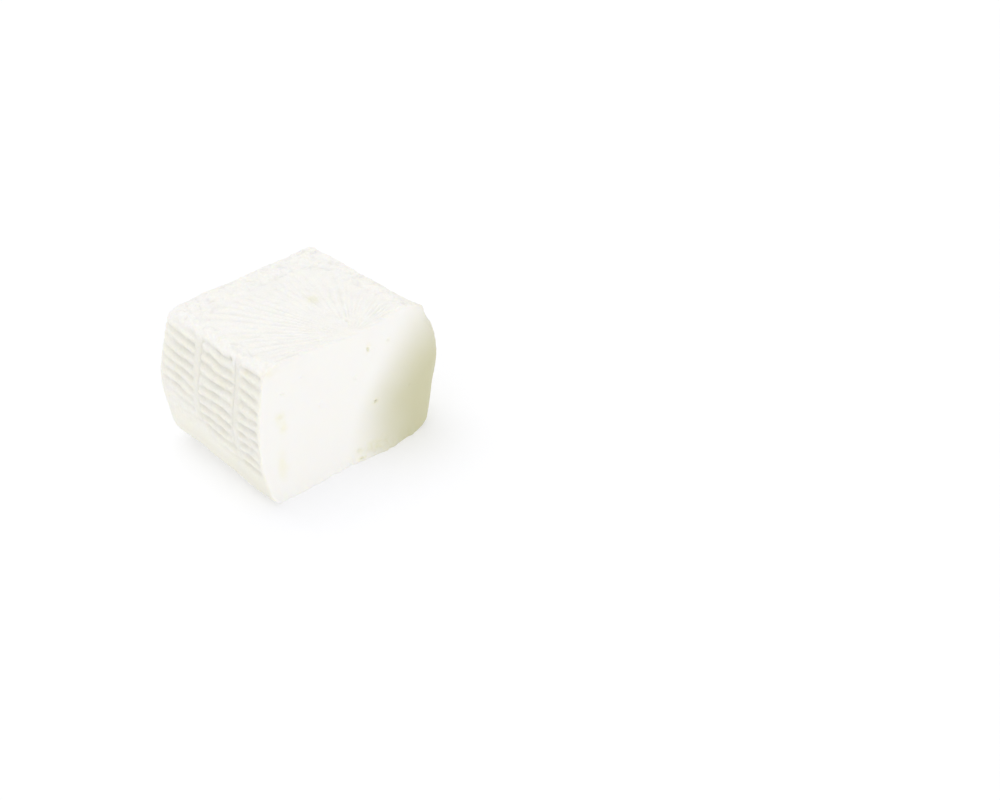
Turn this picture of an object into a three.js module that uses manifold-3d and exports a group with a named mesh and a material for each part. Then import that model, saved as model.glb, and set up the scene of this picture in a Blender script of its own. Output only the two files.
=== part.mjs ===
// A cut piece of primosale, a fresh basket-moulded sheep's milk cheese, in millimetres, +Z up.
// -X, +X and +Y are walls that carry the ridges of the basket, -Y is the knife cut, and the block
// rests on its flat underside. The origin is the middle of the underside's outline.
import * as THREE from 'three';
import { ParametricGeometry } from 'three/addons/geometries/ParametricGeometry.js';
import { mergeVertices } from 'three/addons/utils/BufferGeometryUtils.js';
import Module from 'manifold-3d';

// Driving dimensions: the block's edges, measured between sharp corners before it swells.
const WIDTH = 70;
const DEPTH = 63;
const HEIGHT = 58;
const HALF_WIDTH = WIDTH / 2;
const HALF_DEPTH = DEPTH / 2;

// How far the soft walls stand out: all round at mid-height, at the foot, and beside the cut.
// A swell's slack is how much sooner it rises from the foot than it falls away to the top.
const SWELL = 4.0;
const SWELL_SLACK = 0.8;
const FOOT_SPREAD = 1.9;
const FOOT_SPREAD_FALL = 1.4;
const CUT_FOOT_SPREAD = 0.9;
const CUT_FOOT_FALL = 1.5;
const RIGHT_WALL_OUT = 1.0;
const SHOULDER = 11.0;
const SHOULDER_BEFORE_CUT = 4;
const SHOULDER_REACH = 22;
const SHOULDER_RISE = 0.74;

// The waves that make each face uneven: their height, which is less on the top, the lengths of
// the broad and the narrow waves along a face's two directions, and where the broad ones start.
const WAVE_HEIGHT = 0.22;
const WAVE_SHARE_ON_TOP = 0.5;
const BROAD_WAVES = [7.3, 9.1];
const BROAD_STARTS = [0.8, 2.1];
const NARROW_WAVES = [3.9, 5.2];

// Radii of the rounded edges. Where the cut meets the right wall its edge is rounder, from a
// place along X and between two shares of the height.
const LEFT_CORNER = 8.2;
const BACK_CORNER = 3.0;
const TOP_EDGE_LEFT = 4.6;
const TOP_EDGE_BACK = 1.4;
const TOP_EDGE_SHOULDER = 8.0;
const FOOT_AT_CUT = 5.2;
const FOOT_AT_BACK = 11.5;
const CUT_EDGE = 0.8;
const CUT_EDGE_AT_FOOT = 0.3;
const CUT_EDGE_FULL_ABOVE = 0.1;
const CUT_EDGE_RIGHT = 8.8;
const ROUNDER_FROM = 10;
const ROUNDER_ABOVE = 0.35;
const ROUNDER_BELOW = 0.8;

// The basket's print on a wall: level grooves with cushions between, and two upright bars. The
// grooves rise towards the back, and the lowest of them end before it.
const GROOVES = 10;
const LOWEST_GROOVE = 0.255 * HEIGHT;
const HIGHEST_GROOVE = 0.93 * HEIGHT;
const GROOVE_PITCH = (HIGHEST_GROOVE - LOWEST_GROOVE) / (GROOVES - 1);
const GROOVE_DEPTH = 0.35;
const GROOVE_HALF_WIDTH = 0.5;
const CUSHION = 0.9;
const PRINT_RISE_AT_BACK = 3.6;
const PRINT_END_AT_CUT = -0.9 * GROOVE_PITCH;
const PRINT_END_RISE_AT_BACK = 7.5;
const PRINT_FADE_LOW = 0.5 * GROOVE_PITCH;
const PRINT_FADE_HIGH = 0.8 * GROOVE_PITCH;
const SMEAR_AT_CUT = 1.6;
const SMEAR_AT_SHOULDER = 12;
const BARS = [0.247, 0.612];
const BAR_DEPTH = 0.55;
const BAR_HALF_WIDTH = 2.0;
const BAR_EDGE = 1.0;
const BAR_OUTSIDE = BAR_HALF_WIDTH + BAR_EDGE;
const BAR_INSIDE = BAR_HALF_WIDTH - BAR_EDGE;

// The top: a shallow dip round the centre of the star-shaped print, which lies on the cut.
const STAR = new THREE.Vector2(4.5, -HALF_DEPTH);
const STAR_RELIEF = 0.4;
const STAR_HEART = 0.38;
const STAR_LEFT = -29;
const STAR_RIGHT = 27.5;
const STAR_BACK = 18;
const STAR_CORNER = 16;
const STAR_FRAME = 3;
const DIP = 1.3;
const DIP_REACH = 20;

// The cut: a belly at the top, a slight hollow beside it and a belly low on the right.
const CUT_WAVES = [
  { out: 1.2, at: 7, reach: 12, low: 0.3, high: 1.0 },
  { out: -0.8, at: -12, reach: 7, low: 0.2, high: 0.9 },
  { out: 1.6, at: 20, reach: 13, low: 0.35, high: 0.0 },
];

// Small holes and tears, each an ellipsoid: where its middle is, and its half sizes.
const HOLES = [
  { at: [11.4, -32.6, 47.8], size: [0.8, 1.3, 1.4] },
  { at: [14.0, -32.2, 23.1], size: [0.8, 1.1, 0.7] },
  { at: [4.9, -33.0, 1.5], size: [1.3, 1.1, 0.6] },
  { at: [8.6, -2.8, 58.1], size: [1.3, 8.2, 0.8] },
  { at: [-34.6, -12.4, 56.2], size: [1.6, 1.2, 1.3] },
];
const HOLE_SIDES = 10;
const HOLE_RINGS = 7;

// How finely the surface is divided. Turns are in degrees above the level.
// A station is on a ray of the star print (1), in a furrow (0) or on neither.
const NO_RAY = 0.5;
const BISECTIONS = 40;
const MERGE_WITHIN = 1e-4;
const BAR_MARKS = [-BAR_OUTSIDE, -BAR_INSIDE, BAR_INSIDE, BAR_OUTSIDE];
const LEVELS_PER_GROOVE = 3;
const LEVEL_SQUEEZE = 0.2;
const TOP_LEVEL_GAP = 0.5;
const PANEL_STEPS = 6;
const CORNER_STEPS = 5;
const CUT_CORNER_STEPS = 6;
const CUT_STEPS = 16;
const RAY_REACH = 39;
const FOOT_CENTRE = 13;
const FOOT_TURNS = [-90, -75, -60, -45, -30, -12];
const TOP_CENTRE_BELOW = 3.1;
const TOP_INSET = 8;
const TOP_INSET_AT_CUT = 1.25;
const TOP_INSET_REACH = 14;
const TOP_TURNS = [8, 20, 34, 50, 68, 90];
const TOP_RINGS = [0.92, 0.84, 0.62, 0.38, 0.16];
const FAN_BEHIND_CUT = 3.5;

const smooth = (from, to, x) => THREE.MathUtils.smoothstep((x - from) / (to - from), 0, 1);
const clamp01 = (x) => THREE.MathUtils.clamp(x, 0, 1);
const bell = (x, middle, reach) => Math.exp(-(((x - middle) / reach) ** 2));

// The unevenness of a hand-filled, hand-turned cheese, from two coordinates on a face.
function unevenness(a, b) {
  const broadA = Math.sin(a / BROAD_WAVES[0] + BROAD_STARTS[0]);
  const broadB = Math.cos(b / BROAD_WAVES[1] + BROAD_STARTS[1]);
  return WAVE_HEIGHT * (broadA * broadB + Math.sin(a / NARROW_WAVES[0] + b / NARROW_WAVES[1]));
}

// Two faces met by a rounded edge, all three as signed distances, outside positive.
function roundMeet(a, b, radius) {
  const corner = Math.hypot(Math.max(a + radius, 0), Math.max(b + radius, 0));
  return Math.min(-radius, Math.max(a, b)) + corner;
}

// The barrel profile of a wall, 0 at top and foot and 1 near mid-height.
function barrel(share, slack) {
  const rise = Math.max(Math.sin(Math.PI * clamp01(share)), 0);
  return rise ** (1 + SWELL_SLACK * clamp01(share) * (1 - slack));
}

// How far the print has risen on its way from the cut to the back, from 0 to 1.
const risen = (fromCut) => clamp01(fromCut / DEPTH) ** 2;

// The basket's print: along runs from the cut or the wall's left end, length is the wall's, and
// the print is smeared away over a short stretch beside the cut.
function print(along, z, length, fromCut, smear) {
  const above = z - LOWEST_GROOVE - PRINT_RISE_AT_BACK * risen(fromCut);
  const lowest = PRINT_END_AT_CUT + PRINT_END_RISE_AT_BACK * risen(fromCut);
  const covered = smooth(lowest, lowest + PRINT_FADE_LOW, above);
  const below = smooth(HIGHEST_GROOVE + PRINT_FADE_HIGH, HIGHEST_GROOVE, z);
  const row = THREE.MathUtils.clamp(Math.round(above / GROOVE_PITCH), 0, GROOVES - 1);
  const away = Math.abs(above - row * GROOVE_PITCH);
  const turn = 2 * Math.PI * Math.min(away / GROOVE_PITCH, 0.5);
  const grooves = GROOVE_DEPTH * bell(away, 0, GROOVE_HALF_WIDTH) + CUSHION * (1 + Math.cos(turn)) / 2;
  let bar = 0;
  for (const share of BARS) {
    bar += smooth(BAR_OUTSIDE, BAR_INSIDE, Math.abs(along - share * length));
  }
  const relief = THREE.MathUtils.lerp(grooves, BAR_DEPTH, bar);
  return -covered * below * smooth(0, smear, fromCut) * relief;
}

// The three moulded walls, each as a signed distance.
function wallsAt(x, y, z) {
  const share = z / HEIGHT;
  const fromCut = y + HALF_DEPTH;
  const far = clamp01(fromCut / DEPTH);
  const leftness = clamp01((HALF_WIDTH - x) / WIDTH);
  const spread = FOOT_SPREAD * clamp01(1 - share) ** FOOT_SPREAD_FALL;
  const swell = SWELL * barrel(share, far * leftness) + spread;
  const nearCut = bell(Math.max(fromCut + SHOULDER_BEFORE_CUT, 0), 0, SHOULDER_REACH);
  const sag = Math.max(Math.sin(Math.PI * clamp01(1 - share) ** SHOULDER_RISE), 0);
  const side = HALF_WIDTH + swell + unevenness(y, z);
  const left = side + print(fromCut, z, DEPTH, fromCut, SMEAR_AT_CUT);
  const right = side + print(fromCut, z, DEPTH, fromCut, SMEAR_AT_SHOULDER);
  const back = swell + print(x + HALF_WIDTH, z, WIDTH, DEPTH, SMEAR_AT_CUT) + unevenness(x, z);
  return {
    left: -x - left,
    right: x - right - RIGHT_WALL_OUT - SHOULDER * nearCut * sag,
    back: y - HALF_DEPTH - back,
    share,
    far,
    leftness,
    nearCut,
  };
}

// The height of the top at a place on it.
function topHeight(x, y) {
  const dip = DIP * bell(Math.hypot(x - STAR.x, y - STAR.y), 0, DIP_REACH);
  return HEIGHT - dip + WAVE_SHARE_ON_TOP * unevenness(x, y);
}

// The whole moulded block before the cut, with its rounded edges.
function block(x, y, z) {
  const walls = wallsAt(x, y, z);
  const corner = roundMeet(walls.left, walls.back, LEFT_CORNER);
  const sides = roundMeet(corner, walls.right, BACK_CORNER);
  const top = z - topHeight(x, y);
  const rightEdge = THREE.MathUtils.lerp(TOP_EDGE_BACK, TOP_EDGE_SHOULDER, walls.nearCut);
  const topEdge = THREE.MathUtils.lerp(rightEdge, TOP_EDGE_LEFT, walls.leftness);
  const foot = THREE.MathUtils.lerp(FOOT_AT_CUT, FOOT_AT_BACK, walls.far);
  return roundMeet(roundMeet(sides, top, topEdge), -z, foot);
}

// The knife's face before its edges are rounded, as a signed distance.
function cutFace(x, y, share) {
  let out = CUT_FOOT_SPREAD * clamp01(1 - share) ** CUT_FOOT_FALL;
  for (const wave of CUT_WAVES) {
    out += wave.out * bell(x, wave.at, wave.reach) * smooth(wave.low, wave.high, share);
  }
  return -y - HALF_DEPTH - out;
}

// The piece of cheese: the moulded block on the one side of the knife.
function piece(x, y, z) {
  const { right, share } = wallsAt(x, y, z);
  const cut = cutFace(x, y, share);
  const front = smooth(0, CUT_EDGE_FULL_ABOVE, share);
  const frontEdge = THREE.MathUtils.lerp(CUT_EDGE_AT_FOOT, CUT_EDGE, front);
  const halfHigh = smooth(0, ROUNDER_ABOVE, share) * smooth(1, ROUNDER_BELOW, share);
  const rounder = halfHigh * smooth(ROUNDER_FROM, HALF_WIDTH, x);
  const rightEdge = THREE.MathUtils.lerp(CUT_EDGE, CUT_EDGE_RIGHT, rounder);
  return Math.max(roundMeet(block(x, y, z), cut, frontEdge), roundMeet(right, cut, rightEdge));
}

// Where a field turns from inside (negative) at one value to outside at another.
function crossing(inside, outside, field) {
  for (let step = 0; step < BISECTIONS; step += 1) {
    const middle = (inside + outside) / 2;
    if (field(middle) < 0) inside = middle;
    else outside = middle;
  }
  return (inside + outside) / 2;
}

// How far the left and the right wall are from the block's middle just behind the cut.
function frontReach(side, z) {
  const y = -HALF_DEPTH + CUT_EDGE_RIGHT;
  return crossing(0, 2 * WIDTH, (distance) => block(side * distance, y, z));
}

// Distances along a wall: each bar gets four, and each panel between bars is divided evenly.
// Rays of the star print and the furrows between them take turns, panel step by panel step.
function wallDistances(length, start, end) {
  const marks = BARS.flatMap((share) => BAR_MARKS.map((aside) => share * length + aside));
  const panels = [start, ...marks, end];
  const distances = [];
  for (let i = 0; i < panels.length; i += 4) {
    for (let step = 0; step <= PANEL_STEPS; step += 1) {
      const along = THREE.MathUtils.lerp(panels[i], panels[i + 1], step / PANEL_STEPS);
      distances.push({ along, ray: step % 2 });
    }
    for (const along of panels.slice(i + 2, i + 4)) distances.push({ along, ray: 0 });
  }
  return distances;
}

// Stations round the piece's plan, anticlockwise: the right wall, the back, the left wall and the
// cut. Each has a place on the sharp outline's rounded path, which can change with the height,
// the direction that it faces, whether it lies on a ray of the star print, and how far in from
// the wall the top edge is seen from.
function outlineStations() {
  const stations = [];
  const add = (place, angle, ray, whole = 1) => {
    const out = new THREE.Vector2(Math.cos(angle), Math.sin(angle));
    const inset = THREE.MathUtils.lerp(TOP_INSET_AT_CUT, TOP_INSET, whole);
    stations.push({ place, out, ray, inset });
  };
  const fixed = (x, y) => () => new THREE.Vector2(x, y);
  const corner = (x, y, radius, from) => {
    for (let step = 1; step < CORNER_STEPS; step += 1) {
      const angle = from + (step / CORNER_STEPS) * (Math.PI / 2);
      add(fixed(x + radius * Math.cos(angle), y + radius * Math.sin(angle)), angle, step % 2);
    }
  };
  for (const { along, ray } of wallDistances(DEPTH, CUT_EDGE_RIGHT, DEPTH - BACK_CORNER)) {
    add(fixed(HALF_WIDTH, along - HALF_DEPTH), 0, ray);
  }
  corner(HALF_WIDTH - BACK_CORNER, HALF_DEPTH - BACK_CORNER, BACK_CORNER, 0);
  for (const { along, ray } of wallDistances(WIDTH, LEFT_CORNER, WIDTH - BACK_CORNER).reverse()) {
    add(fixed(along - HALF_WIDTH, HALF_DEPTH), Math.PI / 2, ray);
  }
  corner(LEFT_CORNER - HALF_WIDTH, HALF_DEPTH - LEFT_CORNER, LEFT_CORNER, Math.PI / 2);
  for (const { along, ray } of wallDistances(DEPTH, SMEAR_AT_CUT, DEPTH - LEFT_CORNER).reverse()) {
    add(fixed(-HALF_WIDTH, along - HALF_DEPTH), Math.PI, ray, smooth(0, TOP_INSET_REACH, along));
  }
  add(fixed(-HALF_WIDTH, -HALF_DEPTH), Math.PI, NO_RAY, 0);
  for (let step = 0; step <= CUT_STEPS; step += 1) {
    const place = (z) => {
      const left = CUT_EDGE - frontReach(-1, z);
      const right = frontReach(1, z) - CUT_EDGE_RIGHT;
      return new THREE.Vector2(THREE.MathUtils.lerp(left, right, step / CUT_STEPS), -HALF_DEPTH);
    };
    add(place, -Math.PI / 2, NO_RAY, 0);
  }
  for (let step = 1; step < CUT_CORNER_STEPS; step += 1) {
    const turned = step / CUT_CORNER_STEPS;
    const angle = (turned - 1) * (Math.PI / 2);
    const place = (z) => {
      const x = frontReach(1, z) + CUT_EDGE_RIGHT * (Math.cos(angle) - 1);
      return new THREE.Vector2(x, CUT_EDGE_RIGHT * (Math.sin(angle) + 1) - HALF_DEPTH);
    };
    add(place, angle, NO_RAY, turned);
  }
  return [...stations, stations[0]];
}

// Heights of the rows on a wall, which follow its grooves and are squeezed below the top edge.
function wallLevels(fromCut, ceiling) {
  const apart = GROOVE_PITCH / LEVELS_PER_GROOVE;
  const highest = HIGHEST_GROOVE + apart;
  const levels = [];
  for (let level = 0; level < GROOVES * LEVELS_PER_GROOVE; level += 1) {
    const z = LOWEST_GROOVE + (level - 1) * apart;
    const followed = z + PRINT_RISE_AT_BACK * risen(fromCut);
    levels.push(Math.min(followed, ceiling - LEVEL_SQUEEZE * (highest - z)));
  }
  return levels;
}

// Where a line from a centre, inset from a station's wall towards the block's middle and at
// height z, meets the surface: level for a turn of 0, straight up for 90 and down for -90.
function surfacePoint(station, z, inset, turn) {
  const wallAt = (d) => station.place(z).addScaledVector(station.out, d);
  const reach = crossing(-LEFT_CORNER, RAY_REACH, (d) => piece(...wallAt(d), z));
  const wall = wallAt(reach);
  const outward = wall.clone().normalize();
  const angle = THREE.MathUtils.degToRad(turn);
  const at = (d) => {
    const level = wall.clone().addScaledVector(outward, d * Math.cos(angle) - inset);
    return new THREE.Vector3(level.x, level.y, z + d * Math.sin(angle));
  };
  return at(crossing(0, RAY_REACH, (d) => piece(...at(d))));
}

// How far inside the star print's frame a point lies, 0 on the frame and 1 well inside.
function insideStar(x, y) {
  const side = Math.min(x - STAR_LEFT, STAR_RIGHT - x);
  return smooth(0, STAR_FRAME, -roundMeet(-side, y - STAR_BACK, STAR_CORNER));
}

// The point of the top a share of the way from the fan's centre to the rim, raised on a ray
// of the star print and lowered in a furrow.
function topPoint(rim, ring, ray) {
  const x = THREE.MathUtils.lerp(STAR.x, rim.x, ring);
  const y = THREE.MathUtils.lerp(STAR.y + FAN_BEHIND_CUT, rim.y, ring);
  const z = crossing(HEIGHT / 2, 2 * HEIGHT, (level) => piece(x, y, level));
  const relief = (ray - NO_RAY) * STAR_RELIEF * insideStar(x, y) * smooth(0, STAR_HEART, ring);
  return new THREE.Vector3(x, y, z + relief);
}

// One geometry's triangles as a manifold-3d solid, without those that a pole flattens to a line.
function solidFrom(wasm, geometry) {
  const bare = geometry.clone().deleteAttribute('normal').deleteAttribute('uv');
  const merged = mergeVertices(bare, MERGE_WITHIN);
  const triangles = [];
  for (let i = 0; i < merged.index.count; i += 3) {
    const [a, b, c] = [0, 1, 2].map((k) => merged.index.getX(i + k));
    if (a !== b && b !== c && c !== a) triangles.push(a, b, c);
  }
  return new wasm.Manifold(new wasm.Mesh({
    numProp: 3,
    vertProperties: merged.attributes.position.array,
    triVerts: new Uint32Array(triangles),
  }));
}

// One column of the surface, from the middle of the underside out over the foot, up the wall or
// the cut, over the top edge and in to the fan's centre.
function surfaceColumn(station) {
  const foot = FOOT_TURNS.map((turn) => surfacePoint(station, FOOT_CENTRE, FOOT_CENTRE, turn));
  foot[0].setZ(0);
  const { x, y } = station.place(HEIGHT);
  const edgeCentre = topHeight(x, y) - TOP_CENTRE_BELOW;
  const levels = wallLevels(y + HALF_DEPTH, edgeCentre - TOP_LEVEL_GAP);
  const wall = levels.map((z) => surfacePoint(station, z, 0, 0));
  const edge = TOP_TURNS.map((turn) => surfacePoint(station, edgeCentre, station.inset, turn));
  const rim = edge[edge.length - 1];
  const top = TOP_RINGS.map((ring) => topPoint(rim, ring, station.ray));
  return [new THREE.Vector3(), ...foot, ...wall, ...edge, ...top, topPoint(rim, 0, 0)];
}

// The piece before its small holes: columns side by side, closed into a ring.
function pieceGeometry() {
  const columns = outlineStations().map(surfaceColumn);
  const across = columns.length - 1;
  const up = columns[0].length - 1;
  const place = (u, v, target) => {
    target.copy(columns[Math.round(u * across)][Math.round(v * up)]);
  };
  return new ParametricGeometry(place, across, up);
}

// One small hole.
function holeGeometry({ at, size }) {
  return new THREE.SphereGeometry(1, HOLE_SIDES, HOLE_RINGS).scale(...size).translate(...at);
}

// The cheese as one closed body.
function cheeseGeometry(wasm) {
  let cheese = solidFrom(wasm, pieceGeometry());
  for (const hole of HOLES) {
    cheese = cheese.subtract(solidFrom(wasm, holeGeometry(hole)));
  }
  const { vertProperties, triVerts } = cheese.getMesh();
  const geometry = new THREE.BufferGeometry();
  geometry.setAttribute('position', new THREE.BufferAttribute(vertProperties, 3));
  geometry.setIndex(new THREE.BufferAttribute(triVerts, 1));
  geometry.computeVertexNormals();
  geometry.computeBoundingBox();
  return geometry;
}

const wasm = await Module();
wasm.setup();

const curd = new THREE.MeshStandardMaterial({ color: 0xf5f4ee, roughness: 0.45, metalness: 0 });
const cheese = new THREE.Mesh(cheeseGeometry(wasm), curd);
cheese.name = 'cheese';
const middle = cheese.geometry.boundingBox.getCenter(new THREE.Vector3());
cheese.position.set(-middle.x, -middle.y, 0);

const primosale = new THREE.Group();
primosale.add(cheese);

export default primosale;
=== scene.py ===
import math

import bpy
import numpy as np
from mathutils import Matrix, Vector


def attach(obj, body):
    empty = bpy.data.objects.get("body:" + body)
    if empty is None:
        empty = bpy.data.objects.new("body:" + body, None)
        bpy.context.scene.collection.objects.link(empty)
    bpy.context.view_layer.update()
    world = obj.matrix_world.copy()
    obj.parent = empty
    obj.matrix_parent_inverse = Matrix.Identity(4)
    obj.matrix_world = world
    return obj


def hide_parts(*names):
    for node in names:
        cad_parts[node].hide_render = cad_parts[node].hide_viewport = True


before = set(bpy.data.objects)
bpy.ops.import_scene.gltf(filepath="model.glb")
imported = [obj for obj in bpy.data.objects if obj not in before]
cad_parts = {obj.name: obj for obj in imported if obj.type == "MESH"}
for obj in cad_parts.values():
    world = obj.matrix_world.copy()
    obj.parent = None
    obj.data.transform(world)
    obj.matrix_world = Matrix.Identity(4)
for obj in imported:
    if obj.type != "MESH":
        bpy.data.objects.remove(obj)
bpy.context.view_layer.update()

# A cut piece of primosale, a fresh basket-moulded cheese. Lengths and places are in millimetres,
# which this turns into metres.
MM = 0.001

# The block's edges, measured between sharp corners before it swells. The sharp box stands on
# z = 0 with its middle at x = y = 0: -Y is the cut, and -X, +X and +Y are the moulded walls.
WIDTH = 70.0
DEPTH = 63.0
HEIGHT = 58.0
HALF_WIDTH = WIDTH / 2
HALF_DEPTH = DEPTH / 2

# How far the soft walls stand out: all round at mid-height, at the foot, and beside the cut.
# A swell's slack is how much sooner it rises from the foot than it falls away to the top. The
# falls are how fast the spread at the foot is lost above it. The shoulder starts before the cut,
# and the smaller its rise is, the higher up it is fullest.
SWELL = 4.0
SWELL_SLACK = 0.8
FOOT_SPREAD = 1.9
FOOT_SPREAD_FALL = 1.4
CUT_FOOT_SPREAD = 0.9
CUT_FOOT_FALL = 1.5
RIGHT_WALL_OUT = 1.0
SHOULDER = 11.0
SHOULDER_BEFORE_CUT = 4.0
SHOULDER_REACH = 22.0
SHOULDER_RISE = 0.74

# The waves that make each face uneven: their height, which is less on the top, the lengths of
# the broad and the narrow waves along a face's two directions, and where the broad ones start.
WAVE_HEIGHT = 0.22
WAVE_SHARE_ON_TOP = 0.5
BROAD_WAVES = (7.3, 9.1)
BROAD_STARTS = (0.8, 2.1)
NARROW_WAVES = (3.9, 5.2)

# Radii of the rounded edges. Where the cut meets the right wall its edge is rounder, from a
# place along X and between two shares of the height.
LEFT_CORNER = 8.2
BACK_CORNER = 3.0
TOP_EDGE_LEFT = 4.6
TOP_EDGE_BACK = 1.4
TOP_EDGE_SHOULDER = 8.0
FOOT_AT_CUT = 5.2
FOOT_AT_BACK = 11.5
CUT_EDGE = 1.1
CUT_EDGE_AT_FOOT = 0.3
CUT_EDGE_FULL_ABOVE = 0.1
CUT_EDGE_RIGHT = 8.8
ROUNDER_FROM = 10.0
ROUNDER_ABOVE = 0.35
ROUNDER_BELOW = 0.8

# The basket's print on a wall: level grooves with cushions between. The grooves rise towards the
# back, and the lowest of them end before it. The print fades out over a stretch at the foot,
# which is counted in grooves and grows towards the back, and over others above the highest
# groove, beside the cut and beside the shoulder. Round the left corner a share of it is lost.
# Its strength is the usual share of its depth, which changes from patch to patch.
GROOVES = 10
LOWEST_GROOVE = 0.255 * HEIGHT
HIGHEST_GROOVE = 0.93 * HEIGHT
GROOVE_PITCH = (HIGHEST_GROOVE - LOWEST_GROOVE) / (GROOVES - 1)
GROOVE_DEPTH = 0.25
GROOVE_HALF_WIDTH = 0.5
CUSHION = 1.12
PRINT_STRENGTH = 0.86
PRINT_RISE_AT_BACK = 3.6
PRINT_END_AT_CUT = -0.9 * GROOVE_PITCH
PRINT_END_RISE_AT_BACK = 7.5
PRINT_FADE_AT_CUT = 0.5
PRINT_FADE_GROWTH = 3.0
PRINT_FADE_HIGH = 0.8 * GROOVE_PITCH
SMEAR_AT_CUT = 3.2
SMEAR_AT_SHOULDER = 12.0
CORNER_SMEAR = 0.7

# The upright bars that interrupt the grooves, and a thin line beside each, both placed by their
# share of the wall's length. Low on the wall they keep only a share of their strength.
BARS = (0.245, 0.618)
BAR_DEPTH = 0.5
BAR_HALF_WIDTH = 2.3
BAR_EDGE = 1.0
BAR_KEPT_LOW = 0.3
BAR_LINES = (0.26, 0.59)
BAR_LINE_DEPTH = 0.45
BAR_LINE_HALF_WIDTH = 0.35
BAR_LINE_KEPT_LOW = 0.2
BARS_FAINT_BELOW = 0.2 * HEIGHT
BARS_WHOLE_ABOVE = 0.6 * HEIGHT

# The walls' fine grain: the share of it that is left at the foot, and where it comes back.
GRAIN_AT_FOOT = 0.15
GRAIN_FAINT_BELOW = 0.2 * HEIGHT
GRAIN_FULL_ABOVE = 0.35 * HEIGHT

# The top: a shallow dip round the centre of the star-shaped print, which lies on the cut.
STAR_X = 4.5
STAR_Y = -HALF_DEPTH
DIP = 1.3
DIP_REACH = 20.0

# The star's rays: the angle between two, their height, how far from the centre they are full,
# from where inwards only every other ray is left, and the share of their height that all have.
STAR_RAY = math.radians(5.2)
STAR_RELIEF = 0.2
STAR_FULL = 9.0
STAR_INNER = 14.0
STAR_INNER_FULL = 0.6 * STAR_INNER
RAY_STRENGTH = 0.7

# The frame round the star and the broken line along it. The line's middle and the stretch where
# the border starts are measured inwards from the frame, and the line shows where the numbers of
# its gaps are above the first of two values, wholly so above the second.
STAR_LEFT = -29.0
STAR_RIGHT = 27.5
STAR_BACK = 18.0
STAR_CORNER = 16.0
STAR_FRAME = 3.0
FRAME_LINE = 0.3
FRAME_LINE_INSIDE = -0.5
FRAME_LINE_REACH = 0.9
FRAME_LINE_SHOWS = (-0.6, 0.4)
BORDER_STARTS = 1.0
BORDER_FULL = -1.5

# The shares of the border's fine lumps and of its broad ones that the star has too.
LUMPS_IN_STAR = 0.22
MOTTLE_IN_STAR = 0.5

# The cut: a belly at the top, a slight hollow beside it and a belly low on the right. Each
# stands out so far at its middle along X, and grows between two shares of the height.
CUT_WAVES = (
    {"out": 1.2, "at": 7.0, "reach": 12.0, "low": 0.3, "high": 1.0},
    {"out": -0.8, "at": -12.0, "reach": 7.0, "low": 0.2, "high": 0.9},
    {"out": 1.6, "at": 20.0, "reach": 13.0, "low": 0.35, "high": 0.0},
)

# The knife's marks are drawn out along X: their pattern is read at this share of each place.
KNIFE_STRETCH = (0.5, 1.0, 1.0)

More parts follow.
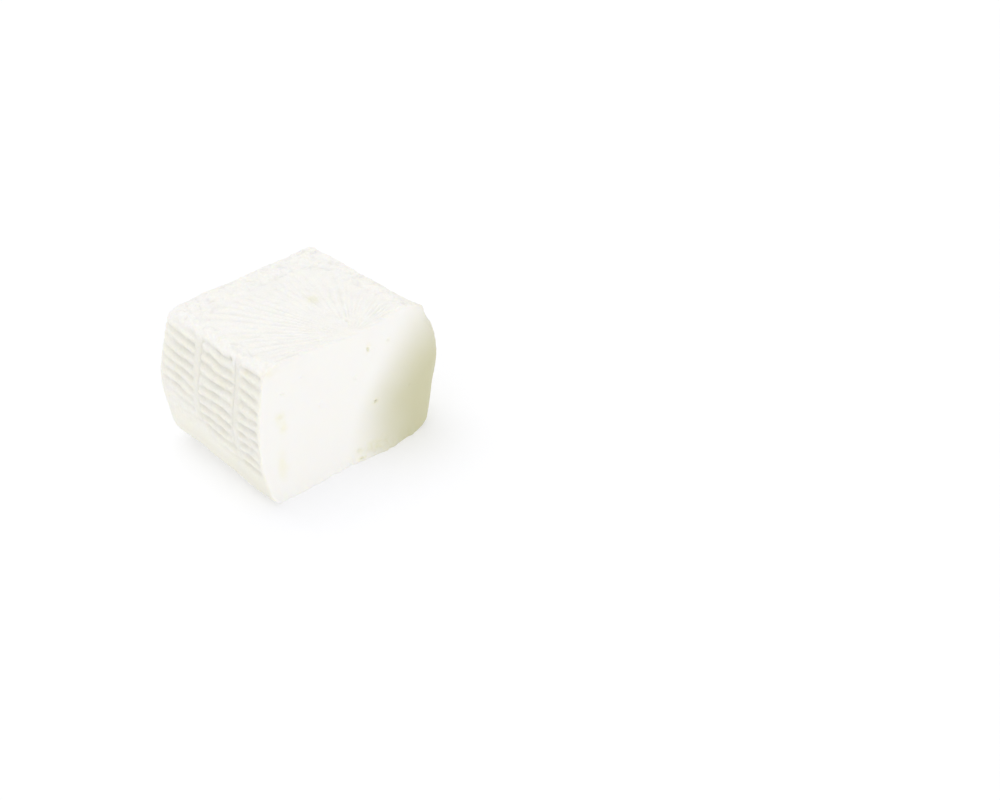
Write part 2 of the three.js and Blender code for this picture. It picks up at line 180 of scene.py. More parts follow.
# Small dents and stains: the middle, the half sizes along X, Y and Z, how deep they are, how
# yellow, and how much wider than the dent the yellow spreads.
DENTS = (
    {"at": (11.4, -32.6, 47.8), "size": (0.8, 2.0, 1.2), "deep": 1.2, "cream": 0.8, "halo": 2.4},
    {"at": (14.0, -32.2, 23.1), "size": (0.9, 2.0, 0.8), "deep": 1.5, "cream": 0.9, "halo": 2.4},
    {"at": (4.9, -33.0, 1.5), "size": (1.2, 2.0, 0.6), "deep": 0.8, "cream": 0.9, "halo": 2.0},
    {"at": (3.9, -32.6, 5.6), "size": (1.3, 2.0, 1.0), "deep": 0.3, "cream": 0.5, "halo": 2.0},
    {"at": (-29.7, -31.7, 36.4), "size": (1.3, 2.0, 1.2), "deep": 0.2, "cream": 0.8, "halo": 2.6},
    {"at": (-28.9, -31.8, 31.7), "size": (1.0, 2.0, 1.4), "deep": 0.2, "cream": 0.7, "halo": 2.6},
    {"at": (-30.8, -32.1, 15.9), "size": (1.2, 2.0, 3.6), "deep": 0.15, "cream": 0.6, "halo": 2.6},
    {"at": (-31.5, -31.5, 56.0), "size": (3.0, 2.0, 1.5), "deep": 0.0, "cream": 0.5, "halo": 1.5},
    {"at": (-18.7, -31.5, 48.3), "size": (1.6, 2.0, 0.9), "deep": 0.3, "cream": 0.1, "halo": 1.0},
    {"at": (-27.7, -31.5, 45.8), "size": (1.6, 2.0, 0.8), "deep": 0.4, "cream": 0.1, "halo": 1.0},
    {"at": (-11.6, -31.5, 33.2), "size": (1.8, 2.0, 1.0), "deep": 0.4, "cream": 0.1, "halo": 1.0},
    {"at": (4.6, -32.0, 38.0), "size": (1.3, 2.0, 1.6), "deep": 0.3, "cream": 0.1, "halo": 1.0},
    {"at": (21.6, -31.5, 47.0), "size": (1.0, 2.0, 0.8), "deep": 0.3, "cream": 0.4, "halo": 2.0},
    {"at": (30.8, -31.5, 22.6), "size": (0.9, 3.0, 0.9), "deep": 0.3, "cream": 0.2, "halo": 1.5},
    {"at": (9.4, -3.4, 58.0), "size": (2.4, 2.6, 2.0), "deep": 0.15, "cream": 0.7, "halo": 1.5},
    {"at": (8.6, -4.8, 58.0), "size": (1.5, 7.6, 2.0), "deep": 0.25, "cream": 0.1, "halo": 1.0},
    {"at": (9.2, -23.5, 57.4), "size": (0.7, 0.8, 2.0), "deep": 0.6, "cream": 0.4, "halo": 1.3},
    {"at": (-32.0, -2.3, 58.0), "size": (1.5, 1.5, 1.5), "deep": 0.0, "cream": 0.5, "halo": 1.3},
    {"at": (-17.0, 35.0, 57.5), "size": (3.4, 3.0, 3.0), "deep": 1.0, "cream": 0.0, "halo": 1.0},
    {"at": (-35.4, -12.1, 55.4), "size": (1.6, 1.1, 1.5), "deep": 1.1, "cream": 0.5, "halo": 1.3},
    {"at": (-38.0, -8.5, 43.2), "size": (4.0, 3.0, 1.8), "deep": 0.0, "cream": 0.4, "halo": 1.2},
    {"at": (-37.0, 22.0, 53.5), "size": (4.0, 3.0, 1.5), "deep": 0.0, "cream": 0.4, "halo": 1.2},
    {"at": (-37.0, -22.0, 53.5), "size": (4.0, 2.5, 1.8), "deep": 0.0, "cream": 0.4, "halo": 1.2},
)

# The crumbly patch low on the cut: its middle, its half sizes, how deep and how yellow it is,
# and how much of it is torn out before the crumbs change that.
TORN_AT = (11.5, -33.3, 4.6)
TORN_SIZE = (8.0, 3.0, 3.8)
TORN_DEPTH = 0.5
TORN_CREAM = 0.9
TORN_SHARE = 0.55

# The shares of their size at which dents, stains and the crumbly patch start and are full.
DENT_FADE = (1.0, 0.3)
STAIN_FADE = (1.1, 0.0)
TORN_FADE = (1.1, 0.3)

# How far the cut's lower edge wavers, and below what height.
RAGGED_FOOT = 0.7
RAGGED_BELOW = 7.0

# Random unevenness: how strong each kind is, how many millimetres across its lumps are, and the
# seed of its numbers. First the walls, then the top, the cut, its dents, the yellowing and the
# painted shadow.
GROOVE_WANDER = {"strength": 0.45, "size": 6.0, "seed": 11}
PRINT_PATCHES = {"strength": 0.36, "size": 4.0, "seed": 12}
WALL_LUMPS = {"strength": 0.2, "size": 1.8, "seed": 13}
WALL_GRAIN = {"strength": 0.12, "size": 0.9, "seed": 14}
BAR_FOOT_WANDER = {"strength": 14.0, "size": 9.0, "seed": 15}
BAR_WANDER = {"strength": 0.7, "size": 2.6, "seed": 16}
RAY_WANDER = {"strength": 0.5, "size": 2.6, "seed": 21}
RAY_VARIETY = {"strength": 0.5, "size": 1.3, "seed": 22}
FRAME_WANDER = {"strength": 0.8, "size": 6.0, "seed": 23}
FRAME_LINE_GAPS = {"strength": 1.0, "size": 9.0, "seed": 24}
TOP_LUMPS = {"strength": 0.32, "size": 1.7, "seed": 25}
TOP_GRAIN = {"strength": 0.24, "size": 1.0, "seed": 26}
TOP_MOTTLE = {"strength": 0.34, "size": 3.2, "seed": 27}
RAY_DRIFT = {"strength": 0.1, "size": 8.0, "seed": 28}
RAY_PATCHES = {"strength": 0.5, "size": 4.0, "seed": 29}
KNIFE_MARKS = {"strength": 0.05, "size": 4.0, "seed": 31}
CUT_GRAIN = {"strength": 0.015, "size": 1.2, "seed": 32}
FOOT_WAVES = {"strength": 1.0, "size": 5.0, "seed": 33}
FOOT_RIPPLES = {"strength": 0.5, "size": 2.0, "seed": 34}
DENT_RAGGEDNESS = {"strength": 0.25, "size": 0.9, "seed": 41}
CRUMBS = {"strength": 0.5, "size": 1.9, "seed": 42}
FINE_CRUMBS = {"strength": 0.4, "size": 0.9, "seed": 43}
CREAM_CLOUDS = {"strength": 0.05, "size": 6.0, "seed": 51}
SHADOW_WANDER = {"strength": 1.5, "size": 9.0, "seed": 52}
WALL_CREAM_CLOUDS = {"strength": 0.1, "size": 5.0, "seed": 53}

# After this many lumps each way the same ones come again.
LUMP_CELLS = 32

# The parts of a normal at which a point starts to belong to a face and wholly does.
TOP_FACING = (0.7, 0.95)
CUT_FACING = (0.6, 0.9)
WALL_FACING = (0.35, 0.75)
BACK_FACING = (-0.1, 0.1)
UPRIGHT_FACING = (0.5, 0.85)
UNDERSIDE_FACING = (0.6, 0.95)

# How yellow the moulded walls are, how much more so at the foot and below what height, and how
# far below the rim the yellow is full.
WALL_CREAM = 0.3
FOOT_CREAM = 0.3
FOOT_CREAM_BELOW = 0.35 * HEIGHT
CREAM_BELOW_RIM = 7.0

# The painted shadow on the right end of the cut, dark and yellow, as if cast there by something
# standing beside it: where along X it starts and is full, how softly it starts, how much further
# right it starts for each millimetre above a height and how softly that begins, how strong it is
# and how sharply it levels off, what is left of it at the top, and where it ends along Y.
SHADOW_START = -3.0
SHADOW_FULL = 27.0
SHADOW_SOFT_START = 0.25
SHADOW_LEAN = 0.85
SHADOW_LEAN_ABOVE = 22.0
SHADOW_LEAN_SOFTLY = 10.0
SHADOW_STRENGTH = 1.12
SHADOW_LEVELLING = 4
SHADOW_AT_TOP = 0.5
SHADOW_BACK = 15.0

# Painted shade: how much darker the bottoms of grooves are, how much darker the walls are at the
# foot and below what height, and how deep the top's furrows are where they are darkest. Then how
# much the moulded faces' fine specks change their brightness.
HOLLOW_SHADE = 0.095
FOOT_SHADE = 0.06
FOOT_SHADE_BELOW = 0.3 * HEIGHT
TOP_FURROW = 0.8
SPECKS = 0.06

# The curd's colours: on the cut and the top, where it is yellower on the walls and in dents, and
# in the painted shadow on the right end of the cut.
WHITE_CURD = (0.905, 0.892, 0.857, 1.0)
CREAM_CURD = (0.87, 0.85, 0.69, 1.0)
SHADOWED_CURD = (0.6, 0.582, 0.395, 1.0)

# The curd's shine, which changes from cloud to cloud, and its finest grain. The clouds and the
# grains are counted per metre.
CLOUDS = 180.0
CLOUD_DETAIL = 3.0
GRAINS = 1500.0
GRAIN_DETAIL = 2.0
GRAIN_BUMP = 0.25
GRAIN_HEIGHT = 0.08
ROUGHNESS = (0.36, 0.56)
REFRACTION = 1.38

# How much light passes into the curd, how far, and how far each colour gets compared with red.
LIGHT_INTO_CURD = 0.4
LIGHT_REACH = 0.8
LIGHT_REACH_BY_COLOUR = (1.0, 0.85, 0.55)

# How finely the surface is divided along X, Y and Z, and the share of its faces that stays.
LATTICE = (190, 170, 150)
FACES_KEPT = 0.52

# The surface is looked for along rays, up to this many times as far out as the sharp box, by
# halving the stretch that holds it.
SEARCH_REACH = 1.8
HALVINGS = 26

# The camera, placed from the middle of the sharp box: where that middle falls in the picture,
# its lens, its turn round the block, its height angle, its distance, and the nearest it sees.
PICTURE = (1000.0, 800.0)
MIDDLE_PIXEL = (293.6, 369.5)
LENS_MM = 50.0
SENSOR_MM = 36.0
CAMERA_TURN = math.radians(-44.55)
CAMERA_HEIGHT = math.radians(34.11)
CAMERA_DISTANCE = 541.6
CAMERA_NEAREST = 10.0

# The floor, a matt table that is lit a little from below, so that shadows on it stay pale.
WHITE = (1.0, 1.0, 1.0, 1.0)
FLOOR_WHITE = (0.67, 0.673, 0.69, 1.0)
FLOOR_GLOW = 0.327
FLOOR_ROUGHNESS = 0.9
FLOOR_SHINE = 0.1
FLOOR_REACH = 4000.0

# The studio: a dome, with its brightness at -X and at +X, a brighter rim, which fades out between
# two heights on a dome of radius 1, and two soft lamps, with the direction that each shines from.
DOME_LEFT = 0.905
DOME_RIGHT = 0.725
RIM = 1.05
RIM_FULL_BELOW = 0.04
RIM_ENDS = 0.6
FRONT_LIGHT = 0.49
FRONT_LIGHT_FROM = (-0.1, -0.97, 0.2)
TOP_LIGHT = 0.64
TOP_LIGHT_FROM = (0.06, 0.46, 1.0)
LAMP_SPREAD = math.radians(50.0)

# A colour mix shares its sockets' names with other kinds of mix, so they go by number.
MIX_FIRST = 6
MIX_SECOND = 7
MIX_RESULT = 2


def ease(share):
    """A share from 0 to 1 made to start and end gently."""
    return share * share * (3.0 - 2.0 * share)


def smooth(start, end, value):
    """0 up to the start, 1 from the end on, and a gentle passage between them."""
    return ease(np.clip((value - start) / (end - start), 0.0, 1.0))


def bell(value, middle, reach):
    """1 in the middle, falling away to both sides."""
    return np.exp(-(((value - middle) / reach) ** 2))


def lerp(start, end, share):
    """The value a share of the way from the start to the end."""
    return start + (end - start) * share


def unit(value):
    """The value held between 0 and 1."""
    return np.clip(value, 0.0, 1.0)


def unevenness(a, b):
    """The unevenness of a hand-filled, hand-turned cheese, from two coordinates on a face."""
    broad_a = np.sin(a / BROAD_WAVES[0] + BROAD_STARTS[0])
    broad_b = np.cos(b / BROAD_WAVES[1] + BROAD_STARTS[1])
    return WAVE_HEIGHT * (broad_a * broad_b + np.sin(a / NARROW_WAVES[0] + b / NARROW_WAVES[1]))


def lumps(points, strength, size, seed):
    """Smooth random lumps, up to their strength either way and about their size across."""
    values = np.random.default_rng(seed).uniform(-1.0, 1.0, (LUMP_CELLS, LUMP_CELLS, LUMP_CELLS))
    place = points / size
    cell = np.floor(place).astype(int)
    share = ease(place - cell)
    total = np.zeros(len(points))
    for corner in np.ndindex(2, 2, 2):
        weight = np.prod(np.where(corner, share, 1.0 - share), axis=1)
        i, j, k = ((cell + corner) % LUMP_CELLS).T
        total += weight * values[i, j, k]
    return strength * total


def round_meet(a, b, radius):
    """Two faces met by a rounded edge, all three as signed distances, outside positive."""
    corner = np.hypot(np.maximum(a + radius, 0.0), np.maximum(b + radius, 0.0))
    return np.minimum(-radius, np.maximum(a, b)) + corner


def barrel(share, slack):
    """The barrel profile of a wall, 0 at top and foot and 1 near mid-height."""
    rise = np.maximum(np.sin(math.pi * unit(share)), 0.0)
    return rise ** (1.0 + SWELL_SLACK * unit(share) * (1.0 - slack))


def walls_at(x, y, z):
    """The three moulded walls without their print, each as a signed distance."""
    share = z / HEIGHT
    from_cut = y + HALF_DEPTH
    far = unit(from_cut / DEPTH)
    leftness = unit((HALF_WIDTH - x) / WIDTH)
    spread = FOOT_SPREAD * unit(1.0 - share) ** FOOT_SPREAD_FALL
    swell = SWELL * barrel(share, far * leftness) + spread
    near_cut = bell(np.maximum(from_cut + SHOULDER_BEFORE_CUT, 0.0), 0.0, SHOULDER_REACH)
    sag = np.maximum(np.sin(math.pi * unit(1.0 - share) ** SHOULDER_RISE), 0.0)
    side = HALF_WIDTH + swell + unevenness(y, z)
    return {
        "left": -x - side,
        "right": x - side - RIGHT_WALL_OUT - SHOULDER * near_cut * sag,
        "back": y - HALF_DEPTH - swell - unevenness(x, z),
        "share": share,
        "far": far,
        "leftness": leftness,
        "near_cut": near_cut,
    }


def top_height(x, y):
    """The height of the top at a place on it."""
    dip = DIP * bell(np.hypot(x - STAR_X, y - STAR_Y), 0.0, DIP_REACH)
    return HEIGHT - dip + WAVE_SHARE_ON_TOP * unevenness(x, y)


def block(walls, x, y, z):
    """The whole moulded block before the cut, with its rounded edges, as a signed distance."""
    sides = round_meet(walls["left"], walls["back"], LEFT_CORNER)
    sides = round_meet(sides, walls["right"], BACK_CORNER)
    right_edge = lerp(TOP_EDGE_BACK, TOP_EDGE_SHOULDER, walls["near_cut"])
    top_edge = lerp(right_edge, TOP_EDGE_LEFT, walls["leftness"])
    topped = round_meet(sides, z - top_height(x, y), top_edge)
    return round_meet(topped, -z, lerp(FOOT_AT_CUT, FOOT_AT_BACK, walls["far"]))


def cut_face(x, y, share):
    """The knife's face before its edges are rounded, as a signed distance."""
    out = CUT_FOOT_SPREAD * unit(1.0 - share) ** CUT_FOOT_FALL
    for wave in CUT_WAVES:
        across = bell(x, wave["at"], wave["reach"])
        out = out + wave["out"] * across * smooth(wave["low"], wave["high"], share)
    return -y - HALF_DEPTH - out


def piece(x, y, z):
    """The cut piece without its print and dents, as a signed distance."""
    walls = walls_at(x, y, z)
    share = walls["share"]
    cut = cut_face(x, y, share)
    front_edge = lerp(CUT_EDGE_AT_FOOT, CUT_EDGE, smooth(0.0, CUT_EDGE_FULL_ABOVE, share))
    half_high = smooth(1.0, ROUNDER_BELOW, share) * smooth(0.0, ROUNDER_ABOVE, share)
    rounder = half_high * smooth(ROUNDER_FROM, HALF_WIDTH, x)
    right_edge = lerp(CUT_EDGE, CUT_EDGE_RIGHT, rounder)
    front = round_meet(block(walls, x, y, z), cut, front_edge)
    return np.maximum(front, round_meet(walls["right"], cut, right_edge))


def lattice():
    """Points all over a box of half size 1, each once, and the quads between them."""
    counts = np.array(LATTICE)
    number = -np.ones(counts + 1, int)
    steps = np.indices(counts + 1)
    skin = np.zeros(counts + 1, bool)
    for axis in range(3):
        skin |= (steps[axis] == 0) | (steps[axis] == counts[axis])
    number[skin] = np.arange(skin.sum())
    points = np.argwhere(skin) / counts * 2.0 - 1.0
    quads = []
    for axis in range(3):
        for end in (0, -1):
            sheet = number.take(end, axis)
            corners = [sheet[:-1, :-1], sheet[1:, :-1], sheet[1:, 1:], sheet[:-1, 1:]]
            # In this order they face out of the box at its high end, but along Y at its low end.
            if (end == 0) == (axis != 1):
                corners.reverse()
            quads.append(np.stack(corners, axis=-1).reshape(-1, 4))
    return points, np.concatenate(quads)


def pushed_out(points):
    """The points moved along rays from the block's middle until they lie on the piece."""
    middle = np.array((0.0, 0.0, HEIGHT / 2))
    rays = points * np.array((HALF_WIDTH, HALF_DEPTH, HEIGHT / 2))
    inside = np.zeros(len(points))
    outside = np.full(len(points), SEARCH_REACH)
    for _ in range(HALVINGS):
        half = (inside + outside) / 2
        x, y, z = (middle + rays * half[:, None]).T
        within = piece(x, y, z) < 0
        inside = np.where(within, half, inside)
        outside = np.where(within, outside, half)
    return middle + rays * ((inside + outside) / 2)[:, None]


def on_top(normals):
    """1 on the top and 0 on the other faces."""
    return smooth(*TOP_FACING, normals[:, 2])


def on_cut(normals):
    """1 on the cut and 0 on the other faces."""
    return smooth(*CUT_FACING, -normals[:, 1])


def on_walls(normals):
    """1 on the moulded walls and 0 on the other faces."""
    return smooth(*WALL_FACING, np.maximum(np.abs(normals[:, 0]), normals[:, 1]))


def level_grooves(points, above):
    """How deep the grooves between the cushions are, by the height above the lowest groove."""
    row = np.clip(np.round(above / GROOVE_PITCH), 0, GROOVES - 1)
    away = np.abs(above - row * GROOVE_PITCH)
    turn = 2.0 * math.pi * np.minimum(away / GROOVE_PITCH, 0.5)
    cushion = CUSHION * (0.5 + 0.5 * np.cos(turn))
    strength = unit(PRINT_STRENGTH + lumps(points, **PRINT_PATCHES))
    return strength * (GROOVE_DEPTH * bell(away, 0.0, GROOVE_HALF_WIDTH) + cushion)


def upright_bars(points, along, length):
    """Where the bars are, from 0 to 1, and how deep the thin lines beside them are."""
    bar = np.zeros(len(points))
    line = np.zeros(len(points))
    for bar_share, line_share in zip(BARS, BAR_LINES):
        aside = np.abs(along - bar_share * length + lumps(points, **BAR_WANDER))
        bar += smooth(BAR_HALF_WIDTH + BAR_EDGE, BAR_HALF_WIDTH - BAR_EDGE, aside)
        line += bell(along, line_share * length, BAR_LINE_HALF_WIDTH)
    height = points[:, 2] + lumps(points, **BAR_FOOT_WANDER)
    whole = smooth(BARS_FAINT_BELOW, BARS_WHOLE_ABOVE, height)
    bar = bar * lerp(BAR_KEPT_LOW, 1.0, whole)
    return bar, BAR_LINE_DEPTH * line * lerp(BAR_LINE_KEPT_LOW, 1.0, whole)


def basket_print(points, along, length, from_cut, smear):
    """The relief of the basket on a wall, where along runs from the cut or the left end."""
    z = points[:, 2]
    far = unit(from_cut / DEPTH)
    above = z - LOWEST_GROOVE - PRINT_RISE_AT_BACK * far**2 + lumps(points, **GROOVE_WANDER)
    lowest = PRINT_END_AT_CUT + PRINT_END_RISE_AT_BACK * far**2
    fading = GROOVE_PITCH * (PRINT_FADE_AT_CUT + PRINT_FADE_GROWTH * far)
    covered = smooth(lowest, lowest + fading, above)
    below = 1.0 - smooth(HIGHEST_GROOVE, HIGHEST_GROOVE + PRINT_FADE_HIGH, z)
    grooves = level_grooves(points, above)
    bar, line = upright_bars(points, along, length)
    depth = lerp(grooves, BAR_DEPTH, bar) + line
    return -covered * below * smooth(0.0, smear, from_cut) * depth


def wall_relief(points, normals):
    """The basket's print on whichever moulded wall a point lies, and a fine grain."""
    x, y, z = points.T
    from_cut = y + HALF_DEPTH
    left = basket_print(points, from_cut, DEPTH, from_cut, SMEAR_AT_CUT)
    right = basket_print(points, from_cut, DEPTH, from_cut, SMEAR_AT_SHOULDER)
    back = basket_print(points, x + HALF_WIDTH, WIDTH, np.full(len(x), DEPTH), SMEAR_AT_CUT)
    sides = np.where(normals[:, 0] < 0.0, left, right)
    on_back = smooth(*BACK_FACING, normals[:, 1] - np.abs(normals[:, 0]))
    upright = smooth(*UPRIGHT_FACING, np.hypot(normals[:, 0], normals[:, 1]))
    left_corner = bell(x, -HALF_WIDTH, LEFT_CORNER) * bell(y, HALF_DEPTH, LEFT_CORNER)
    printed = lerp(sides, back, on_back) * (1.0 - CORNER_SMEAR * left_corner)
    rough = lerp(GRAIN_AT_FOOT, 1.0, smooth(GRAIN_FAINT_BELOW, GRAIN_FULL_ABOVE, z))
    return upright * printed + rough * (lumps(points, **WALL_LUMPS) + lumps(points, **WALL_GRAIN))


def inside_star(x, y):
    """How far inside the star print's frame a point lies, negative outside it."""
    side = np.minimum(x - STAR_LEFT, STAR_RIGHT - x)
    return -round_meet(-side, y - STAR_BACK, STAR_CORNER)


def star_rays(points, reach, angle):
    """The star's rays, positive on a ray and negative in the furrow beside it."""
    spoke = STAR_FULL * np.stack((np.cos(angle), np.sin(angle), np.zeros(len(angle))), axis=1)
    turn = angle / STAR_RAY + lumps(spoke, **RAY_WANDER) + lumps(points, **RAY_DRIFT)
    inner = smooth(STAR_INNER, STAR_INNER_FULL, reach)
    rays = lerp(np.cos(2.0 * math.pi * turn), np.cos(math.pi * turn), inner)
    return rays * (RAY_STRENGTH + lumps(spoke, **RAY_VARIETY) + lumps(points, **RAY_PATCHES))


def top_relief(points):
    """The star print's rays and frame line, and the mottled border round them."""
    x, y, _ = points.T
    reach = np.hypot(x - STAR_X, y - STAR_Y)
    angle = np.arctan2(y - STAR_Y, x - STAR_X)
    rays = star_rays(points, reach, angle)
    within = inside_star(x, y) + lumps(points, **FRAME_WANDER)
    grown = smooth(0.0, STAR_FULL, reach)
    star = STAR_RELIEF * rays * grown * smooth(0.0, STAR_FRAME, within)
    shows = smooth(*FRAME_LINE_SHOWS, lumps(points, **FRAME_LINE_GAPS))
    line = -FRAME_LINE * bell(within, FRAME_LINE_INSIDE, FRAME_LINE_REACH) * shows
    border = smooth(BORDER_STARTS, BORDER_FULL, within)
    fine = lumps(points, **TOP_LUMPS) + lumps(points, **TOP_GRAIN)
    fine = lerp(LUMPS_IN_STAR, 1.0, border) * fine
    broad = lerp(MOTTLE_IN_STAR, 1.0, border) * lumps(points, **TOP_MOTTLE)
    return star + line + fine + broad


def cut_relief(points):
    """The knife's face: almost smooth, a little uneven along the way of the knife."""
    stretched = points * np.array(KNIFE_STRETCH)
    return lumps(stretched, **KNIFE_MARKS) + lumps(points, **CUT_GRAIN)


def wavering(points):
    """How far the lower edge of the cut moves forwards, the same at every height there."""
    x, y, z = points.T
    along = np.stack((x, np.zeros(len(x)), np.zeros(len(x))), axis=1)
    nearby = smooth(RAGGED_BELOW, 0.0, z) * smooth(RAGGED_BELOW, 0.0, y + HALF_DEPTH)
    return RAGGED_FOOT * nearby * (lumps(along, **FOOT_WAVES) + lumps(along, **FOOT_RIPPLES))


def ellipsoid(points, at, size):
    """How far points are from an ellipsoid's middle: 1 on its skin, which is a little ragged."""
    away = np.linalg.norm((points - np.array(at)) / np.array(size), axis=1)
    return away + lumps(points, **DENT_RAGGEDNESS)


def dent_depth(points):
    """How deep the dents are."""
    depth = np.zeros(len(points))
    for dent in DENTS:
        depth += dent["deep"] * smooth(*DENT_FADE, ellipsoid(points, dent["at"], dent["size"]))
    return depth


def dent_cream(points):
    """How yellow the stains in and round the dents are."""
    cream = np.zeros(len(points))
    for dent in DENTS:
        wide = np.array(dent["size"]) * dent["halo"]
        cream += dent["cream"] * smooth(*STAIN_FADE, ellipsoid(points, dent["at"], wide))
    return cream


def torn(points):
    """Crumbs torn out of the cut, from 0 where it is whole to 1."""
    inside = smooth(*TORN_FADE, ellipsoid(points, TORN_AT, TORN_SIZE))
    return inside * unit(TORN_SHARE + lumps(points, **CRUMBS) + lumps(points, **FINE_CRUMBS))


def relief(points, normals):
    """How far the surface stands out from the smooth piece, in millimetres."""
    underneath = smooth(*UNDERSIDE_FACING, -normals[:, 2])
    total = lerp(wall_relief(points, normals), top_relief(points), on_top(normals))
    total = lerp(total, cut_relief(points), on_cut(normals))
    total = total - dent_depth(points) - TORN_DEPTH * torn(points)
    return lerp(total, 0.0, underneath)


def creaminess(points, normals):
    """How yellow the curd is: in dents and crumbs, and on the moulded walls, more so low down."""
    height = points[:, 2]
    low = smooth(FOOT_CREAM_BELOW, 0.0, height)
    wall_cream = WALL_CREAM + FOOT_CREAM * low + lumps(points, **WALL_CREAM_CLOUDS)
    below_rim = smooth(HEIGHT, HEIGHT - CREAM_BELOW_RIM, height)
    cream = on_walls(normals) * below_rim * wall_cream + lumps(points, **CREAM_CLOUDS)
    cream = cream + dent_cream(points) + TORN_CREAM * torn(points)
    return unit(cream)


def painted_end_shadow(points):
    """How strong the painted shadow is on the shoulder's end, darkening it and turning it yellow.
    """
    x, y, z = points.T
    above = z - SHADOW_LEAN_ABOVE
    lean = SHADOW_LEAN * (above + np.hypot(above, SHADOW_LEAN_SOFTLY)) / 2
    place = x - lean + lumps(points, **SHADOW_WANDER)
    share = np.maximum((place - SHADOW_START) / (SHADOW_FULL - SHADOW_START), 0.0)
    grown = share**2 * (1.0 + SHADOW_SOFT_START) / (share + SHADOW_SOFT_START)
    levelled = SHADOW_STRENGTH * grown / (1.0 + grown**SHADOW_LEVELLING) ** (1.0 / SHADOW_LEVELLING)
    weaker = lerp(1.0, SHADOW_AT_TOP, smooth(SHADOW_LEAN_ABOVE, HEIGHT, z))
    return levelled * weaker * smooth(SHADOW_BACK, -SHADOW_BACK, y)


def painted_shade(points, normals, height):
    """Painted shade: how much darker the curd is in grooves and furrows, and along the foot."""
    deepest = lerp(CUSHION, TOP_FURROW, on_top(normals))
    low = smooth(FOOT_SHADE_BELOW, 0.0, points[:, 2]) * on_walls(normals)
    return HOLLOW_SHADE * (1.0 - on_cut(normals)) * unit(-height / deepest) + FOOT_SHADE * low


def mesh_object(name, points, faces, material):
    """A new object in the scene, made of these points and faces."""
    mesh = bpy.data.meshes.new(name)
    mesh.from_pydata(points.tolist(), [], faces.tolist())
    mesh.update()
    mesh.materials.append(material)
    made = bpy.data.objects.new(name, mesh)
    bpy.context.scene.collection.objects.link(made)
    return made


def vertex_normals(mesh):
    """The directions that a mesh's vertices face, a row each."""
    values = np.empty(len(mesh.vertices) * 3, np.float32)
    mesh.vertices.foreach_get("normal", values)
    return values.reshape(-1, 3).astype(float)


def node(tree, kind, **settings):
    """A shader node with some of its settings and inputs given by name."""
    made = tree.nodes.new(kind)
    for name, value in settings.items():
        if hasattr(made, name):
            setattr(made, name, value)
        else:
            made.inputs[name.replace("_", " ")].default_value = value
    return made


def tint_where(tree, attribute, tint):
    """A mix that turns its first colour into the tint as far as a mesh attribute says."""
    amount = node(tree, "ShaderNodeAttribute", attribute_name=attribute)
    mix = node(tree, "ShaderNodeMix", data_type="RGBA")
    mix.inputs[MIX_SECOND].default_value = tint
    tree.links.new(amount.outputs["Fac"], mix.inputs["Factor"])
    return mix


def curd_material():
    """Moist white curd: light passes a little way in, and it yellows where the mesh says so.
    The mesh also gives it a painted shadow and painted shade, darker in its colour.
    """
    material = bpy.data.materials.new("curd")
    material.use_nodes = True
    tree = material.node_tree
    shader = tree.nodes["Principled BSDF"]
    place = node(tree, "ShaderNodeTexCoord")
    clouds = node(tree, "ShaderNodeTexNoise", Scale=CLOUDS, Detail=CLOUD_DETAIL)
    grain = node(tree, "ShaderNodeTexNoise", Scale=GRAINS, Detail=GRAIN_DETAIL)
    tree.links.new(place.outputs["Object"], clouds.inputs["Vector"])
    tree.links.new(place.outputs["Object"], grain.inputs["Vector"])

    yellowed = tint_where(tree, "cream", CREAM_CURD)
    yellowed.inputs[MIX_FIRST].default_value = WHITE_CURD
    # Painted shadow: the right end of the cut darker and yellower in its colour, where the mesh
    # says.
    tint = tint_where(tree, "painted_shadow", SHADOWED_CURD)
    tree.links.new(yellowed.outputs[MIX_RESULT], tint.inputs[MIX_FIRST])

    # Painted shade darkens the colour in grooves, furrows and along the foot; specks vary the
    # moulded faces.
    rind = node(tree, "ShaderNodeAttribute", attribute_name="rind")
    shade = node(tree, "ShaderNodeAttribute", attribute_name="shade")
    specks = node(tree, "ShaderNodeMapRange", To_Min=-SPECKS, To_Max=SPECKS)
    value = node(tree, "ShaderNodeMath", operation="MULTIPLY_ADD")
    speckled = node(tree, "ShaderNodeHueSaturation")
    tree.links.new(grain.outputs["Fac"], specks.inputs["Value"])
    tree.links.new(specks.outputs["Result"], value.inputs[0])
    tree.links.new(rind.outputs["Fac"], value.inputs[1])
    tree.links.new(shade.outputs["Fac"], value.inputs[2])
    tree.links.new(value.outputs["Value"], speckled.inputs["Value"])
    tree.links.new(tint.outputs[MIX_RESULT], speckled.inputs["Color"])
    tree.links.new(speckled.outputs["Color"], shader.inputs["Base Color"])

    gloss = node(tree, "ShaderNodeMapRange", To_Min=ROUGHNESS[0], To_Max=ROUGHNESS[1])
    tree.links.new(clouds.outputs["Fac"], gloss.inputs["Value"])
    tree.links.new(gloss.outputs["Result"], shader.inputs["Roughness"])

    bump = node(tree, "ShaderNodeBump", Strength=GRAIN_BUMP, Distance=GRAIN_HEIGHT * MM)
    tree.links.new(grain.outputs["Fac"], bump.inputs["Height"])
    tree.links.new(bump.outputs["Normal"], shader.inputs["Normal"])

    shader.inputs["IOR"].default_value = REFRACTION
    shader.inputs["Subsurface Weight"].default_value = LIGHT_INTO_CURD
    shader.inputs["Subsurface Radius"].default_value = LIGHT_REACH_BY_COLOUR
    shader.inputs["Subsurface Scale"].default_value = LIGHT_REACH * MM
    return material


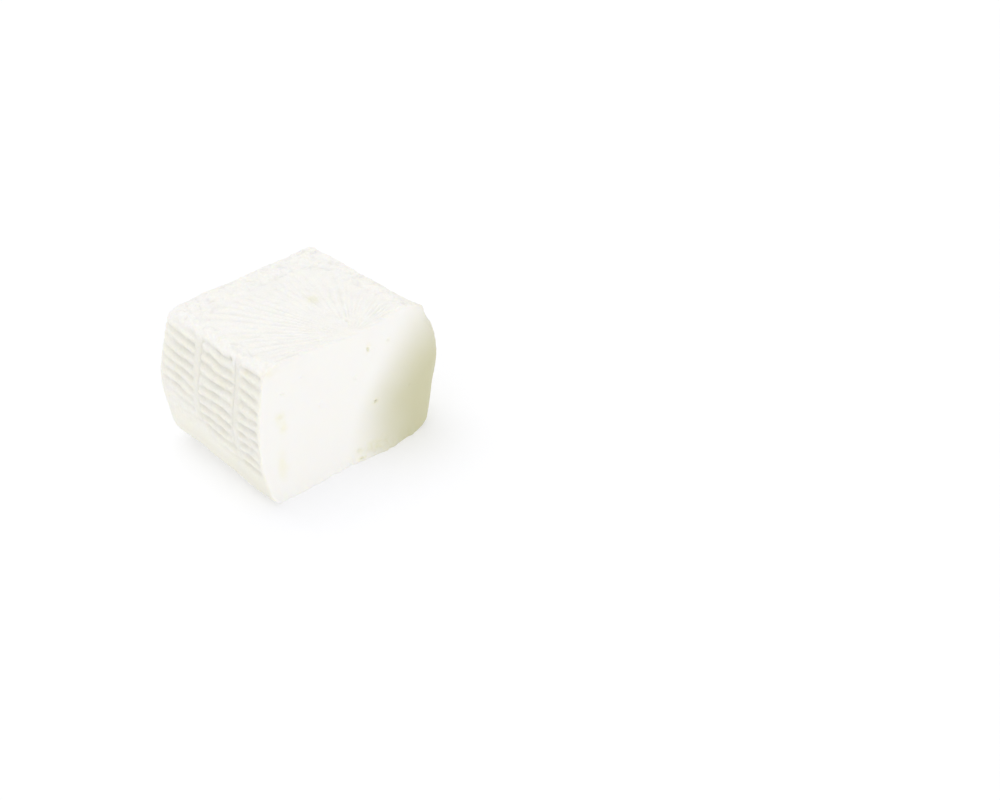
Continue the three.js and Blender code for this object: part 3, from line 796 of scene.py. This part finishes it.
def add_attributes(mesh, points, normals, height):
    """What the curd's material reads: how yellow it is, its painted shadow and shade, and rind."""
    # The painted shadow and the painted shade are shade put into the colour, not the curd's own.
    attributes = {
        "cream": creaminess(points, normals),
        "painted_shadow": painted_end_shadow(points),
        "shade": 1.0 - painted_shade(points, normals, height),
        "rind": 1.0 - on_cut(normals),
    }
    for name, values in attributes.items():
        attribute = mesh.attributes.new(name, "FLOAT", "POINT")
        attribute.data.foreach_set("value", values)


def thin_out(made):
    """Fewer faces for an object, where its surface can spare them."""
    thin = made.modifiers.new("thin", "DECIMATE")
    thin.ratio = FACES_KEPT
    bpy.context.view_layer.objects.active = made
    bpy.ops.object.modifier_apply(modifier=thin.name)


def make_cheese(material):
    """The piece of cheese with its print and dents. Returns it and its middle in millimetres."""
    box_points, quads = lattice()
    smooth_points = pushed_out(box_points)
    cheese = mesh_object("cheese_curd", smooth_points, quads, material)
    mesh = cheese.data
    normals = vertex_normals(mesh)
    height = relief(smooth_points, normals)
    points = smooth_points + normals * height[:, None]
    points[:, 1] -= wavering(smooth_points)
    points[:, 2] = np.maximum(points[:, 2], 0.0)
    middle = (points.min(axis=0) + points.max(axis=0)) / 2
    middle[2] = 0.0
    add_attributes(mesh, smooth_points, normals, height)
    mesh.vertices.foreach_set("co", ((points - middle) * MM).ravel())
    mesh.update()
    thin_out(cheese)
    cheese.data.shade_smooth()
    return cheese, middle


def make_floor():
    """The floor, one large square."""
    material = bpy.data.materials.new("floor")
    material.use_nodes = True
    shader = material.node_tree.nodes["Principled BSDF"]
    shader.inputs["Base Color"].default_value = FLOOR_WHITE
    shader.inputs["Emission Color"].default_value = WHITE
    shader.inputs["Emission Strength"].default_value = FLOOR_GLOW
    shader.inputs["Roughness"].default_value = FLOOR_ROUGHNESS
    shader.inputs["Specular IOR Level"].default_value = FLOOR_SHINE
    corners = np.array([(-1, -1, 0), (1, -1, 0), (1, 1, 0), (-1, 1, 0)]) * FLOOR_REACH * MM
    floor = mesh_object("floor", corners, np.array([(0, 1, 2, 3)]), material)


def make_camera(middle):
    """The camera, on the line from the sharp box's middle through its pixel."""
    right = Vector((math.cos(CAMERA_TURN), math.sin(CAMERA_TURN), 0.0))
    forward = Vector((
        -math.sin(CAMERA_TURN) * math.cos(CAMERA_HEIGHT),
        math.cos(CAMERA_TURN) * math.cos(CAMERA_HEIGHT),
        -math.sin(CAMERA_HEIGHT),
    ))
    up = right.cross(forward)
    pixels = PICTURE[0] * LENS_MM / SENSOR_MM
    across = (MIDDLE_PIXEL[0] - PICTURE[0] / 2) / pixels
    down = (MIDDLE_PIXEL[1] - PICTURE[1] / 2) / pixels
    sight = (forward + right * across - up * down).normalized()
    target = Vector((-middle[0], -middle[1], HEIGHT / 2))
    place = (target - sight * CAMERA_DISTANCE) * MM
    data = bpy.data.cameras.new("camera")
    data.lens = LENS_MM
    data.sensor_width = SENSOR_MM
    data.clip_start = CAMERA_NEAREST * MM
    camera = bpy.data.objects.new("camera", data)
    rotation = Matrix((right, up, -forward)).transposed().to_4x4()
    camera.matrix_world = Matrix.Translation(place) @ rotation
    bpy.context.scene.collection.objects.link(camera)
    bpy.context.scene.camera = camera


def make_lamp(name, shines_from, strength):
    """A soft lamp, far away in the direction that it shines from."""
    data = bpy.data.lights.new(name, "SUN")
    data.angle = LAMP_SPREAD
    data.energy = strength
    lamp = bpy.data.objects.new(name, data)
    lamp.location = shines_from
    lamp.rotation_euler = (-Vector(shines_from)).to_track_quat("-Z", "Y").to_euler()
    bpy.context.scene.collection.objects.link(lamp)


def make_dome():
    """A pale dome, dimmer towards +X and brighter near its rim."""
    world = bpy.data.worlds.new("studio")
    world.use_nodes = True
    tree = world.node_tree
    background = tree.nodes["Background"]
    background.inputs["Color"].default_value = WHITE
    place = node(tree, "ShaderNodeTexCoord")
    facing = node(tree, "ShaderNodeSeparateXYZ")
    level = node(tree, "ShaderNodeMapRange", From_Min=-1.0, To_Min=DOME_LEFT, To_Max=DOME_RIGHT)
    rim = node(
        tree,
        "ShaderNodeMapRange",
        From_Min=RIM_FULL_BELOW,
        From_Max=RIM_ENDS,
        To_Min=RIM,
        To_Max=0.0,
    )
    brighter = node(tree, "ShaderNodeMath", operation="MAXIMUM")
    tree.links.new(place.outputs["Generated"], facing.inputs["Vector"])
    tree.links.new(facing.outputs["X"], level.inputs["Value"])
    tree.links.new(facing.outputs["Z"], rim.inputs["Value"])
    tree.links.new(level.outputs["Result"], brighter.inputs[0])
    tree.links.new(rim.outputs["Result"], brighter.inputs[1])
    tree.links.new(brighter.outputs["Value"], background.inputs["Strength"])
    bpy.context.scene.world = world


cheese, middle = make_cheese(curd_material())
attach(cheese, "root")
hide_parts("cheese")
make_floor()
make_camera(middle)
make_dome()
make_lamp("front_light", FRONT_LIGHT_FROM, FRONT_LIGHT)
make_lamp("top_light", TOP_LIGHT_FROM, TOP_LIGHT)
bpy.context.scene.view_settings.view_transform = "Standard"
